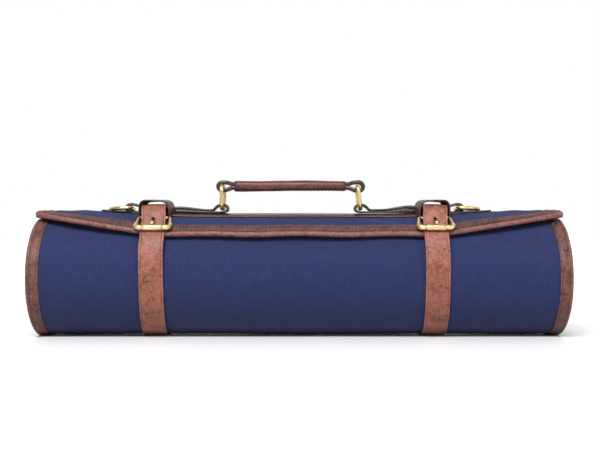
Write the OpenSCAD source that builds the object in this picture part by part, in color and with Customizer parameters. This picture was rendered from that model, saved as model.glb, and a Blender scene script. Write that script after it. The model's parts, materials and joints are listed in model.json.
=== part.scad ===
// Carving tool roll: a canvas panel with leather trim, rolled up round its pockets, closed by two
// buckled straps and carried by a ring-hung handle. The roll lies along X with its front at -Y.

/* [Roll] */
// Length of the rolled panel, end to end
roll_len = 476; // [420:1:520]
// Radius of the canvas at the free edge of the flap
edge_r = 55.8; // [55.5:0.1:56.5]
// Height of the roll's axis above the floor
axis_z = 54; // [53.8:0.1:54.4]
// Radius lost in the outer turn, which is pulled tight
pitch_outer = 4.8; // [4.6:0.1:5]
// Radius lost in each inner turn, which lies looser
pitch_inner = 9; // [7:0.5:10]
// How many turns the panel makes
turns = 2.25; // [1.6:0.05:2.4]
// Angle of the flap's free edge, measured up from the front
edge_a = 40; // [38:1:42]

/* [Cloth and leather] */
// Thickness of the outer canvas
canvas_t = 1; // [0.8:0.1:1.1]
// Thickness of the lining
lining_t = 0.8; // [0.5:0.1:0.8]
// Thickness of the pocket and tip cover cloth
pocket_t = 1.2; // [0.8:0.1:1.4]
// Thickness of the leather edge binding
binding_t = 1.1; // [0.8:0.1:1.1]
// Width of the binding on the two ends of the roll
binding_w = 11.5; // [9:0.5:14]

/* [Straps] */
// Width of the two wrap straps
strap_w = 22; // [20:1:22]
// Thickness of the wrap straps
strap_t = 2.2; // [1.8:0.1:2.2]
// Middle of the left strap and of its buckle
strap_left_x = -128.6; // [-130:0.1:-126]
// Middle of the right strap and of its buckle
strap_right_x = 119.9; // [118:0.1:122]

/* [Top fittings] */
// Left end of the strip sewn along the top
strip_left_x = -181.6; // [-190:0.1:-178]
// Right end of the strip sewn along the top
strip_right_x = 176; // [172:0.1:190]
// Width of the doubled straps that anchor the rings
anchor_w = 21; // [16:1:21]
// Diameter of the brass wire in every ring
ring_wire = 3.2; // [2.8:0.1:3.4]
// Distance from wire centre to wire centre across a handle ring
ring_w = 27.2; // [27:0.1:30]
// Distance from wire centre to wire centre up a handle ring
ring_h = 20.2; // [19:0.1:22]
// Pivot of the left handle ring
ring_left_x = -69.8; // [-72:0.1:-66]
// Pivot of the right handle ring
ring_right_x = 55.4; // [52:0.1:58]
// Lean of the right handle ring towards the left
ring_right_lean = 7.5; // [0:0.5:7.5]
// Pivot of the left D-ring
d_left_x = -152.5; // [-154:0.1:-150]
// Pivot of the right D-ring
d_right_x = 143.8; // [142:0.1:146]

/* [Handle] */
// Length of the rolled leather grip
grip_len = 101; // [90:1:102]
// Width of the grip, front to back
grip_w = 12.4; // [12:0.1:14]
// Height of the grip
grip_h = 9.8; // [9.6:0.1:10.4]

/* [Hidden] */
$fn = 48;

canvas_blue = [0.17, 0.21, 0.40];
lining_tan = [0.62, 0.52, 0.38];
leather_brown = [0.50, 0.31, 0.24];
leather_dark = [0.33, 0.20, 0.17];
brass = [0.80, 0.68, 0.42];

half_len = roll_len / 2;
// The roll's axis sits just off Y = 0, so that the whole object's depth is centred there.
axis_y = -0.196;
// Angle between the points of a round outline
step_a = 7.5;
end_a = edge_a + 360 * turns;
// Height of the canvas where the strap below it flattens against the floor
canvas_floor = strap_t + 0.1;
layer_gap = 0.05;
lining_d = canvas_t + layer_gap;
inner_d = lining_d + lining_t;
// Depth of the binding's inner skin, and of the pockets' near side
pocket_d = inner_d + layer_gap;

// The flap's free edge, seen from the front: level between the straps, rising to the corners.
knee_x = 144;
edge_mid_z = 88;
edge_end_z = 103.5;
flap_band_mid = 11;
flap_band_end = 4.5;
// A radius between the flap and the turn below it
under_flap_r = edge_r - pitch_outer + binding_t + 0.15;

strip_t = 1.4;
strip_half_a = 21;
anchor_layer = 1.6;
anchor_z = axis_z + radius_at(90) + strip_t + 0.15;
loop_eye_r = 2.2;
loop_r = 3.9;
ring_z = anchor_z + loop_r;
wire_r = ring_wire / 2;
ring_corner_r = 3.4;

d_w = 28;
d_corner_r = 3;
d_straight = 5.9;

chape_t = 1.5;
chape_w = 20;
heel_a = 61;
heel_r = 59;
buckle_wire_r = 1.7;
heel_half = 13.3;
side_bar_r = 1.9;
front_half = 15.3;
roller_r = 2.7;
roller_len = 17.5;
// A true running fit between metal parts
run_gap = 0.08;
roller_a = 44;
// The middle of the strap under the roller, over the flap's binding
strap_front_r = edge_r + binding_t + 0.4 + strap_t / 2;
roller_bar_r = strap_front_r + strap_t / 2 + roller_r + 0.2;
prong_r = 1.2;
prong_eye_r = 3;
prong_eye_len = 3.8;
heel = yz(heel_a, heel_r);
front_bar = yz(roller_a, roller_bar_r);
buckle_dir = (front_bar - heel) / norm(front_bar - heel);
buckle_out = [buckle_dir[1], -buckle_dir[0]];
prong_tip = front_bar + (roller_r + prong_r + 0.15) * buckle_out;
prong_dir = (prong_tip - heel) / norm(prong_tip - heel);

// The strap's tail, from under the roller up over the shoulder and through the keeper, which it lifts
tail_z = anchor_z + 2 * anchor_layer + 1.3 + strap_t / 2;
tail_foot = [axis_y - 38.5, 99];
tail_wall = [axis_y - 34.3, 106.5];
tail_shoulder = [axis_y - 30.2, 113];
tail_bend = [axis_y - 26, tail_z - 0.4];
tail_rise = 2.5;
tail_end_y = 15;
wall_dir = (tail_wall - tail_foot) / norm(tail_wall - tail_foot);
prong_hole = [axis_y - 35.3, 104.7];
prong_hole_len = 4.8;
prong_hole_r = 1.65;

keeper_half = 15;
keeper_t = 1.4;
keeper_top = 122;
keeper_corner = 5;
keeper_front = -24.5;
keeper_back = -11.3;

handle_left = [ring_left_x, ring_z + ring_h];
handle_right = [
    ring_right_x - ring_h * sin(ring_right_lean),
    ring_z + ring_h * cos(ring_right_lean)
];
handle_loop_r = 5.2;
handle_loop_w = 15;
// Play in the handle's right eye, taken up as the two unequal rings lean together
eye_play = 1.7;
grip_x = (handle_left[0] + handle_right[0]) / 2;
grip_z = handle_left[1] + 0.4;
grip_wall = 1.6;
handle_strap_t = 2.4;

// Radius of the canvas at an angle that runs from the flap's edge inwards
function radius_at(a) =
    let (turn = (a - edge_a) / 360)
    edge_r - pitch_outer * min(turn, 1) - pitch_inner * max(turn - 1, 0);

// A point at an angle and a radius about the roll's axis, as [y, z]
function yz(a, r) = [axis_y - r * cos(a), axis_z + r * sin(a)];

// One corner of the rolled panel's outline at a depth under the canvas, flattened where the roll rests
function layer_corner(i, depth) =
    let (a = edge_a + i * step_a)
    let (p = yz(a, radius_at(a) - depth))
    [p[0], max(p[1], canvas_floor + depth)];

// A point on the straight side between two corners, so that every layer bends at the same angles
function layer_point(a, depth) =
    let (at = (a - edge_a) / step_a)
    let (i = floor(at))
    layer_corner(i, depth) * (1 - at + i) + layer_corner(i + 1, depth) * (at - i);

function reversed(list) = [for (i = [len(list) - 1 : -1 : 0]) list[i]];

// Outline of a rolled layer between two angles and two depths
function layer_outline(from_a, to_a, top_d, under_d) =
    let (first = floor((from_a - edge_a) / step_a + 0.01) + 1)
    let (last = ceil((to_a - edge_a) / step_a - 0.01) - 1)
    let (angles = concat([from_a], [for (i = [first : last]) edge_a + i * step_a], [to_a]))
    concat(
        [for (a = angles) layer_point(a, top_d)],
        [for (a = reversed(angles)) layer_point(a, under_d)]
    );

function unit(v) = v / norm(v);
function left_of(v) = [-v[1], v[0]];

// Mitred sideways step at one point of a path
function side_step(path, i) =
    let (last = len(path) - 1)
    let (before = left_of(unit(path[max(i, 1)] - path[max(i, 1) - 1])))
    let (after = left_of(unit(path[min(i, last - 1) + 1] - path[min(i, last - 1)])))
    (before + after) / (1 + before * after);

// Outline of a strip of even thickness along a path
function ribbon(path, t) =
    let (ids = [for (i = [0 : len(path) - 1]) i])
    concat(
        [for (i = ids) path[i] + side_step(path, i) * t / 2],
        [for (i = reversed(ids)) path[i] - side_step(path, i) * t / 2]
    );

// Points round an arc, as [first axis, second axis]
function arc(centre, r, from_a, to_a, count) =
    [for (i = [0 : count]) centre + r * [
        cos(from_a + (to_a - from_a) * i / count),
        sin(from_a + (to_a - from_a) * i / count)
    ]];

function smooth(t) = t * t * (3 - 2 * t);

// Middle of a wrap strap: sewn at the back, under the roll, up the front and over the top
function strap_path() =
    let (half = strap_t / 2 + 0.1)
    let (leave_a = 340)
    let (under_a = 360 + roller_a)
    let (leave_r = radius_at(leave_a) + half)
    concat(
        [for (i = [11 : 40]) layer_corner(i, -half)],
        [for (i = [1 : 9]) yz(
            leave_a + (under_a - leave_a) * i / 9,
            leave_r + (strap_front_r - leave_r) * smooth(i / 9)
        )],
        [tail_foot, tail_wall, tail_shoulder, tail_bend],
        [[axis_y - 22, tail_z + 0.2], [axis_y - 12, tail_z + tail_rise]],
        [[axis_y, tail_z + tail_rise + 0.5], [axis_y + tail_end_y, tail_z + tail_rise]]
    );

// Middle of a chape: two layers of leather folded round the buckle's heel bar
function chape_path() =
    let (bend_r = buckle_wire_r + 0.35 + chape_t / 2)
    let (sew_r = radius_at(75) + strip_t + 0.35 + chape_t / 2)
    concat(
        [yz(78.5, sew_r), yz(72, sew_r), yz(66, sew_r)],
        arc(heel, bend_r, -62, -250, 12),
        [yz(70.5, sew_r + chape_t + 0.2), yz(74.5, sew_r + chape_t + 0.2), yz(78.5, sew_r + chape_t + 0.2)]
    );

// Angle where a line from a point outside touches a circle, on the side given by sign
function touch_angle(centre, r, outside, sign) =
    let (v = outside - centre)
    atan2(v[1], v[0]) + sign * acos(r / norm(v));

// Outline of a strap's looped end, from the high side of its neck round the eye to the low side
function loop_outline(eye, r, high, low) =
    concat(
        [high],
        arc(eye, r, touch_angle(eye, r, high, 1), 360 + touch_angle(eye, r, low, -1), 16),
        [low]
    );

function mirrored(list, x) = [for (p = list) [2 * x - p[0], p[1]]];

// Lays an outline drawn as [y, z] along X
module along_x(from_x, to_x) {
    translate([from_x, 0, 0])
        rotate([90, 0, 90])
            linear_extrude(to_x - from_x)
                children();
}

// Lays an outline drawn as [x, z] along Y
module along_y(from_y, to_y) {
    translate([0, to_y, 0])
        rotate([90, 0, 0])
            linear_extrude(to_y - from_y)
                children();
}

// A rod from one point to another and on past it, with a blunt tapered tip
module rod(from, to, r, tip) {
    v = to - from;
    len = norm(v);
    translate(from)
        rotate([0, acos(v[2] / len), atan2(v[1], v[0])])
            rotate_extrude()
                polygon([[0, -tip], [r - tip / 2, -tip], [r, 0], [r, len], [r - tip / 2, len + tip],
                    [0, len + tip]]);
}

// A quarter bend of round wire, in the XY plane
module wire_bend(bend_r, r, from_a) {
    rotate([0, 0, from_a])
        rotate_extrude(angle = 90)
            translate([bend_r, 0])
                circle(r);
}

module rounded_box_outline(w, h, r) {
    square([w - 2 * r, h], center = true);
    square([w, h - 2 * r], center = true);
    for (sx = [-1, 1], sy = [-1, 1])
        translate([sx * (w / 2 - r), sy * (h / 2 - r)])
            circle(r);
}

// The space in front of the flap's edge, between the flap and the turn below it
module flap_trim(lift) {
    difference() {
        along_y(-90, axis_y)
            polygon([
                [-half_len - 1, 84], [half_len + 1, 84],
                [half_len + 1, edge_end_z + lift], [knee_x, edge_mid_z + lift],
                [-knee_x, edge_mid_z + lift], [-half_len - 1, edge_end_z + lift]
            ]);
        along_x(-half_len - 2, half_len + 2)
            polygon(concat([yz(90, 1)], [for (a = [10 : 5 : 95]) yz(a, under_flap_r)]));
    }
}

// A rolled layer of cloth, cut back along the flap's edge
module rolled_cloth(from_x, to_x, from_a, to_a, top_d, under_d) {
    difference() {
        along_x(from_x, to_x)
            polygon(layer_outline(from_a, to_a, top_d, under_d));
        if (from_a < 90)
            flap_trim(0.8);
    }
}

module outer_canvas() {
    color(canvas_blue)
        rolled_cloth(-half_len + 1, half_len - 1, edge_a + 1, end_a - 1, 0, canvas_t);
}

module lining() {
    color(lining_tan)
        rolled_cloth(-half_len + 1, half_len - 1, edge_a + 1, end_a - 1, lining_d, inner_d);
}

module tool_pockets() {
    color(canvas_blue)
        rolled_cloth(-half_len + 14, 20, edge_a + 150, end_a - 14, pocket_d, pocket_d + pocket_t);
}

module tip_cover() {
    color(canvas_blue)
        rolled_cloth(64, half_len - 14, edge_a + 140, end_a - 14, pocket_d, pocket_d + pocket_t);
}

// Leather folded over one end of the panel, all the way from the flap to the inner edge
module end_binding(side) {
    outer_x = side * half_len;
    inner_x = side * (half_len - binding_w);
    web_x = side * (half_len - 0.9);
    open_x = inner_x - side;
    color(leather_brown)
        difference() {
            along_x(min(outer_x, inner_x), max(outer_x, inner_x))
                polygon(layer_outline(edge_a, end_a - 1, -binding_t, inner_d + binding_t));
            along_x(min(open_x, web_x), max(open_x, web_x))
                polygon(layer_outline(edge_a - 2, end_a + 1, -layer_gap, pocket_d));
            flap_trim(0);
        }
}

// Leather folded over the flap's free edge, between the two end bindings
module flap_binding() {
    top_a = 78;
    reach = half_len - binding_w - 0.1;
    color(leather_brown)
        intersection() {
            difference() {
                along_x(-reach, reach)
                    polygon(layer_outline(edge_a, top_a, -binding_t, inner_d + binding_t));
                difference() {
                    along_x(-half_len, half_len)
                        polygon(layer_outline(edge_a + 0.9, top_a + 2, -layer_gap, pocket_d));
                    flap_trim(0.75);
                }
                flap_trim(0);
            }
            along_y(-90, axis_y)
                polygon([
                    [-half_len, edge_end_z + flap_band_end], [-knee_x, edge_mid_z + flap_band_mid],
                    [knee_x, edge_mid_z + flap_band_mid], [half_len, edge_end_z + flap_band_end],
                    [half_len, 40], [-half_len, 40]
                ]);
        }
}

// Tape folded over the edge at the heart of the roll
module inner_edge_binding() {
    tape_a = 13;
    reach = half_len - binding_w - 0.1;
    color(leather_dark)
        along_x(-reach, reach) {
            polygon(layer_outline(end_a - tape_a, end_a, -binding_t, -layer_gap));
            polygon(layer_outline(end_a - tape_a, end_a, pocket_d, inner_d + binding_t));
            polygon(layer_outline(end_a - 0.9, end_a, -binding_t, inner_d + binding_t));
        }
}

module base_strip() {
    color(leather_dark)
        along_x(strip_left_x, strip_right_x)
            polygon(layer_outline(90 - strip_half_a, 90 + strip_half_a, -0.05 - strip_t, -0.05));
}

// Outline of the doubled strap of an anchor with a loop at each end, as [x, z]
function anchor_outline(from_x, to_x) =
    let (flare = 11)
    let (top_z = anchor_z + 2 * anchor_layer)
    let (left = [from_x, ring_z])
    let (up = touch_angle(left, loop_r, [from_x + flare, top_z], 1))
    concat(
        arc(left, loop_r, up, 270, 14),
        arc([to_x, ring_z], loop_r, -90, 180 - up, 14),
        [[to_x - flare, top_z], [from_x + flare, top_z]]
    );

module anchor(from_x, to_x) {
    color(leather_dark)
        difference() {
            along_y(-anchor_w / 2, anchor_w / 2)
                polygon(anchor_outline(from_x, to_x));
            for (x = [from_x, to_x])
                translate([x, anchor_w, ring_z])
                    rotate([90, 0, 0])
                        cylinder(h = 2 * anchor_w, r = loop_eye_r);
        }
}

module wrap_strap(x) {
    color(leather_brown)
        difference() {
            along_x(x - strap_w / 2, x + strap_w / 2)
                polygon(ribbon(strap_path(), strap_t));
            translate([x, prong_hole[0], prong_hole[1]])
                rotate([atan2(wall_dir[1], wall_dir[0]), 0, 0]) {
                    for (s = [-1, 1])
                        translate([0, s * prong_hole_len / 2, -5])
                            cylinder(h = 10, r = prong_hole_r);
                    cube([2 * prong_hole_r, prong_hole_len, 10], center = true);
                }
        }
}

module chape(x) {
    slot_w = prong_eye_len + 1;
    color(leather_dark)
        difference() {
            along_x(x - chape_w / 2, x + chape_w / 2)
                polygon(ribbon(chape_path(), chape_t));
            translate([x, heel[0] - 1.6, heel[1]])
                cube([slot_w, 10.2, 10], center = true);
        }
}

module keeper(x) {
    shoulder_z = keeper_top - keeper_t / 2 - keeper_corner;
    inset = keeper_half - keeper_corner;
    path = concat(
        [[-keeper_half, 100]],
        arc([-inset, shoulder_z], keeper_corner, 180, 90, 6),
        arc([inset, shoulder_z], keeper_corner, 90, 0, 6),
        [[keeper_half, 100]]
    );
    color(leather_brown)
        difference() {
            translate([x, axis_y, 0])
                along_y(keeper_front, keeper_back)
                    polygon(ribbon(path, keeper_t));
            along_x(x - 20, x + 20)
                polygon(concat([yz(90, 20)], [for (i = [1 : 7]) layer_corner(i, -strip_t - 0.15)]));
        }
}

// A four-sided wire frame, narrower at the bar that the chape holds
module buckle_frame(x) {
    color(brass) {
        for (side = [-1, 1])
            rod([x + side * heel_half, heel[0], heel[1]],
                [x + side * front_half, front_bar[0], front_bar[1]], side_bar_r, 1.8);
        for (bar = [[heel, heel_half], [front_bar, front_half]])
            translate([x - bar[1], bar[0][0], bar[0][1]])
                rotate([0, 90, 0])
                    cylinder(h = 2 * bar[1], r = buckle_wire_r);
    }
}

module roller(x) {
    color(brass)
        translate([x - roller_len / 2, front_bar[0], front_bar[1]])
            rotate([0, 90, 0])
                difference() {
                    cylinder(h = roller_len, r = roller_r);
                    translate([0, 0, -1])
                        cylinder(h = roller_len + 2, r = buckle_wire_r + run_gap);
                }
}

module prong(x) {
    start = heel + prong_dir * (prong_eye_r - 0.6);
    color(brass) {
        difference() {
            union() {
                translate([x - prong_eye_len / 2, heel[0], heel[1]])
                    rotate([0, 90, 0])
                        cylinder(h = prong_eye_len, r = prong_eye_r);
                rod([x, start[0], start[1]], [x, prong_tip[0], prong_tip[1]], prong_r, 0.8);
            }
            translate([x - prong_eye_len, heel[0], heel[1]])
                rotate([0, 90, 0])
                    cylinder(h = 2 * prong_eye_len, r = buckle_wire_r + run_gap);
        }
    }
}

// An upright ring of wire with square-set corners, hung by its lower bar
module handle_ring(x, lean) {
    side = ring_w / 2 - ring_corner_r;
    up = ring_h / 2 - ring_corner_r;
    color(brass)
        translate([x, 0, ring_z])
            rotate([0, -lean, 0])
                translate([0, 0, ring_h / 2])
                    rotate([90, 0, 90]) {
                        for (s = [-1, 1]) {
                            translate([-side, s * ring_h / 2, 0])
                                rotate([0, 90, 0])
                                    cylinder(h = 2 * side, r = wire_r);
                            translate([s * ring_w / 2, up, 0])
                                rotate([90, 0, 0])
                                    cylinder(h = 2 * up, r = wire_r);
                        }
                        for (q = [[1, 1, 0], [-1, 1, 90], [-1, -1, 180], [1, -1, 270]])
                            translate([q[0] * side, q[1] * up, 0])
                                wire_bend(ring_corner_r, wire_r, q[2]);
                    }
}

// A D-ring lying flat, with its straight bar in the anchor's loop and its bow turned outwards
module d_ring(x, side) {
    bow_r = d_w / 2;
    color(brass)
        translate([x, 0, ring_z])
            rotate([0, 0, side > 0 ? 0 : 180]) {
                translate([0, bow_r - d_corner_r, 0])
                    rotate([90, 0, 0])
                        cylinder(h = d_w - 2 * d_corner_r, r = wire_r);
                translate([d_corner_r, bow_r - d_corner_r, 0])
                    wire_bend(d_corner_r, wire_r, 90);
                translate([d_corner_r, d_corner_r - bow_r, 0])
                    wire_bend(d_corner_r, wire_r, 180);
                for (s = [-1, 1])
                    translate([d_corner_r, s * bow_r, 0])
                        rotate([0, 90, 0])
                            cylinder(h = d_straight - d_corner_r, r = wire_r);
                translate([d_straight, 0, 0])
                    rotate([0, 0, -90])
                        rotate_extrude(angle = 180)
                            translate([bow_r, 0])
                                circle(wire_r);
            }
}

// The strap that runs through the grip and loops round the top bars of both rings
module handle_strap() {
    neck_z = grip_z - grip_h / 2 + grip_wall;
    neck_x = grip_x - grip_len / 2 - 0.3;
    high = [neck_x, neck_z + 5.2];
    low = [neck_x, neck_z];
    // The right loop is as much bigger as the play in its eye.
    right_eye = handle_right + [eye_play / 2, 0];
    right_twin = mirrored([right_eye], grip_x)[0];
    left_loop = loop_outline(handle_left, handle_loop_r, high, low);
    right_loop = loop_outline(right_twin, handle_loop_r + eye_play / 2, high, low);
    color(leather_dark)
        difference() {
            union() {
                along_y(-handle_loop_w / 2, handle_loop_w / 2) {
                    polygon(left_loop);
                    polygon(mirrored(right_loop, grip_x));
                }
                translate([grip_x, 0, neck_z + 0.1 + handle_strap_t / 2])
                    cube([grip_len + 3, 7.6, handle_strap_t], center = true);
            }
            for (p = [handle_left, handle_right, handle_right + [eye_play, 0]])
                translate([p[0], handle_loop_w, p[1]])
                    rotate([90, 0, 0])
                        cylinder(h = 2 * handle_loop_w, r = loop_eye_r);
            translate([right_eye[0], 0, right_eye[1]])
                cube([eye_play, 2 * handle_loop_w, 2 * loop_eye_r], center = true);
        }
}

// Half-round filler that gives the grip its body
module handle_core() {
    core_w = 8.4;
    core_h = grip_h - 2 * grip_wall - handle_strap_t - 0.3;
    core_z = grip_z - grip_h / 2 + grip_wall + handle_strap_t + 0.2;
    color(lining_tan)
        along_x(grip_x - grip_len / 2 + 1, grip_x + grip_len / 2 - 1)
            translate([0, core_z + core_h / 2])
                rounded_box_outline(core_w, core_h, 1.9);
}

module handle_wrap() {
    color(leather_brown)
        along_x(grip_x - grip_len / 2, grip_x + grip_len / 2)
            translate([0, grip_z])
                difference() {
                    rounded_box_outline(grip_w, grip_h, 4.6);
                    rounded_box_outline(grip_w - 2 * grip_wall, grip_h - 2 * grip_wall + 0.1, 1);
                }
}

outer_canvas();
lining();
tool_pockets();
tip_cover();
end_binding(-1);  // end_binding_left
end_binding(1);  // end_binding_right
flap_binding();
inner_edge_binding();
base_strip();
anchor(d_left_x, ring_left_x);  // anchor_left
anchor(ring_right_x, d_right_x);  // anchor_right
wrap_strap(strap_left_x);  // wrap_strap_left
wrap_strap(strap_right_x);  // wrap_strap_right
chape(strap_left_x);  // chape_left
chape(strap_right_x);  // chape_right
keeper(strap_left_x);  // keeper_left
keeper(strap_right_x);  // keeper_right
buckle_frame(strap_left_x);  // buckle_frame_left
buckle_frame(strap_right_x);  // buckle_frame_right
roller(strap_left_x);  // roller_left
roller(strap_right_x);  // roller_right
prong(strap_left_x);  // prong_left
prong(strap_right_x);  // prong_right
handle_ring(ring_left_x, 0);  // handle_ring_left
handle_ring(ring_right_x, ring_right_lean);  // handle_ring_right
d_ring(d_left_x, -1);  // d_ring_left
d_ring(d_right_x, 1);  // d_ring_right
handle_strap();
handle_core();
handle_wrap();
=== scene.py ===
import json
import random
from math import acos, cos, pi, radians, sin, tan

import bmesh
import bpy
import numpy as np
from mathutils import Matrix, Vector

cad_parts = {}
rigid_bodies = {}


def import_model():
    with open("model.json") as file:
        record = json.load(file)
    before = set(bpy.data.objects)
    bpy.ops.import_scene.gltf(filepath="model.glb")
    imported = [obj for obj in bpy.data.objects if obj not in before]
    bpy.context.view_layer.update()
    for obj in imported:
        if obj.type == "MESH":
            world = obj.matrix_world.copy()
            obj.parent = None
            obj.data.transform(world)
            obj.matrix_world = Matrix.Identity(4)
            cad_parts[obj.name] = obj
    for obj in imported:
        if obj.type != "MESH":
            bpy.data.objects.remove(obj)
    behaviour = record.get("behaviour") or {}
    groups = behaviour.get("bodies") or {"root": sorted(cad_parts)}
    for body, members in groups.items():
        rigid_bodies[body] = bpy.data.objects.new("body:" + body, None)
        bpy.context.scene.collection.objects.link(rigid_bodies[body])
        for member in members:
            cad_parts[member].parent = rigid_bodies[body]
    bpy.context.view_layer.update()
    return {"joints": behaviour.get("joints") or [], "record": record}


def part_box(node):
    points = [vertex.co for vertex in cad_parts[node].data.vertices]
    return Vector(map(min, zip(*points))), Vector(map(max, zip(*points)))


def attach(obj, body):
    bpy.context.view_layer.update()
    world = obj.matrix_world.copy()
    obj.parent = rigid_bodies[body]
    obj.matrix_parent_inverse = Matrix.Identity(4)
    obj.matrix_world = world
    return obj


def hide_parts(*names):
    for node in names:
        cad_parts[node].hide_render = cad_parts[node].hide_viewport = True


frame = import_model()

# ---- the design, in metres and degrees
record = frame["record"]
joints = {j["name"]: j for j in frame["joints"]}
core_low, core_high = next(o for o in record["physics"]["openings"] if o["name"] == "hollow_core")["box_m"]
AXIS_Y = (core_low[1] + core_high[1]) / 2
AXIS_Z = (core_low[2] + core_high[2]) / 2
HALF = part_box("end_binding_right")[1].x

# The spiral: angles go round the axis from the front; u counts them from the flap's free edge inwards.
EDGE_R = 0.0558
PITCH_OUTER = 0.0048
PITCH_INNER = 0.009
EDGE_A = 40.0
TURNS = 2.25
END_U = 360 * TURNS
CANVAS_FLOOR = 0.0023
FLAP_U = 60
FLAP_TOP_A = 100
END_BAND_X = 0.2245
OVER_END_BAND = 0.00045

# Depths under the canvas's outer face, thicknesses, and the bindings' width.
CANVAS_T = 0.001
LINING_D = 0.00105
INNER_D = 0.00185
POCKET_D = 0.0019
POCKET_T = 0.0012
BINDING_T = 0.0011
BINDING_W = 0.0115

STRAP_X = {side: joints[side + "_buckle_rock"]["pos_m"][0] for side in ("left", "right")}
STRAP_W = 0.022
STRAP_T = 0.0022
HEEL = np.array(joints["left_buckle_rock"]["pos_m"][1:])
FRONT_BAR = np.array(joints["left_roller_spin"]["pos_m"][1:])
ROLLER_R = 0.0027
ROLLER_LEN = 0.0175

RING_LEFT = Vector(joints["handle_lean"]["pos_m"])
RING_RIGHT = Vector(joints["right_ring_lean"]["pos_m"])
RING_W = 0.0272
RING_H = 0.0202
RING_WIRE = 0.0018
RIGHT_LEAN = radians(7.5)
LEFT_TURN = radians(1.6)
D_LEFT = Vector(joints["left_d_ring_lift"]["pos_m"])
D_RIGHT = Vector(joints["right_d_ring_lift"]["pos_m"])
HUMP_LEFT = 0.0019
HUMP_RIGHT = 0.0029

CAMERA_LENS_MM = 65.6
CAMERA_X = 0.0006
CAMERA_BACK = 1.0
CAMERA_Z = 0.097
FLOOR_HALF = 12.0
# Each light: name, place, width in metres and power in watts.
LIGHTS = (("key", (-0.3, -1.4, 1.6), 1.0, 66.0), ("fill", (1.3, -1.0, 0.8), 1.0, 8.0))

rng = random.Random(7)
WAVES = [(rng.uniform(18, 60), rng.uniform(0.6, 3.2), rng.uniform(0, 6.28), rng.uniform(0.4, 1))
         for _ in range(9)]


# ---- the rolled panel as a surface
def xyz(x, y, z):
    return np.stack(np.broadcast_arrays(x, y, z), -1)


def smooth(t):
    """0 below 0, 1 above 1, and a soft step between."""
    t = np.clip(t, 0, 1)
    return t * t * (3 - 2 * t)


def window(a, centre, half):
    """1 at the centre, falling smoothly to 0 at the distance half on either side."""
    return np.cos(np.clip((a - centre) / half, -1, 1) * pi / 2) ** 2


def radius_at(a):
    """Radius of the plain spiral at an angle, to the canvas's outer face."""
    turn = (a - EDGE_A) / 360
    return EDGE_R - PITCH_OUTER * np.minimum(turn, 1) - PITCH_INNER * np.maximum(turn - 1, 0)


def under_straps(x):
    """1 where a wrap strap presses the canvas in, 0 away from the straps."""
    return sum(np.exp(-(((x - c) / 0.0128) ** 4)) for c in STRAP_X.values())


def edge_height(x):
    """Height of the flap's free edge: level between the straps, rising to the corners."""
    level, knee, width, slope = 0.0917, 0.127, 0.0045, 0.156
    rise = slope * width * np.log1p(np.exp((np.abs(x) - knee) / width))
    wave = 0.0005 * np.cos(2 * pi * x / 0.086) * np.exp(-((x / 0.12) ** 4))
    return level + rise + wave


def edge_angle(x):
    """Angle round the axis of the flap's free edge."""
    return np.interp(x, EDGE_XS, EDGE_AS)


def angle_of(x, u):
    """Angle round the axis of a point u degrees in from the flap's edge, which is a curve."""
    e = edge_angle(x)
    return np.where(u < FLAP_U, e + u * (FLAP_TOP_A - e) / FLAP_U, u + EDGE_A)


def slack(x):
    """How far the top of the flap stands up towards its unbuckled ends, in soft waves."""
    at = np.array([0, 90, 110, 130, 155, 181, 198, 211, 221, 230, 250]) * 0.001
    up = np.array([0, 0, 0.4, 1.1, 2.2, 3.3, 4.4, 4.0, 4.4, 3.2, 2.6]) * 0.001
    near = np.abs(x)
    i = np.clip(np.searchsorted(at, near, side="right") - 1, 0, len(at) - 2)
    return up[i] + (up[i + 1] - up[i]) * smooth((near - at[i]) / (at[i + 1] - at[i]))


def relief(x, a):
    """How far the canvas stands off the plain spiral: slack ends, a fuller front, soft waves."""
    flare = slack(x) * (window(a, 88, 58) + 0.3 * window(a, 446, 60))
    free = 1 - under_straps(x)
    outer = smooth((a - 118) / 16) * (1 - smooth((a - 384) / 12))
    bulge = 0.0008 * free * outer
    beside_straps = np.exp(-((np.abs(np.abs(x) - 0.152) / 0.022) ** 2))
    waves = sum(k * np.sin(fx * x + fa * np.radians(a) + p) for fx, fa, p, k in WAVES)
    pucker = 0.00028 * np.sin(x * 520) * beside_straps * window(a, 372, 34)
    return flare + bulge + (0.00012 * waves + pucker) * free


def lift(x, u):
    """How far the flap's edge curls off the turn below it."""
    between = 0.0009 * np.clip(1 - (x / 0.105) ** 2, 0, 1)
    beyond = 0.0017 * smooth((np.abs(x) - 0.138) / 0.04)
    corner = 0.0012 * smooth((np.abs(x) - 0.2) / 0.03)
    curl = 0.0003 + between + beyond - corner
    return curl * np.clip(1 - u / 30, 0, 1.3) ** 2


def solve_edge(xs):
    """Angles at which the relief surface stands at the edge's height."""
    a = np.full(len(xs), 45.0)
    for _ in range(12):
        r = radius_at(a) + relief(xs, a) + lift(xs, 0.0)
        a = 0.5 * a + 0.5 * np.degrees(np.arcsin(np.clip((edge_height(xs) - AXIS_Z) / r, -1, 0.985)))
    return a


EDGE_XS = np.linspace(-0.25, 0.25, 501)
EDGE_AS = solve_edge(EDGE_XS)


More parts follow.
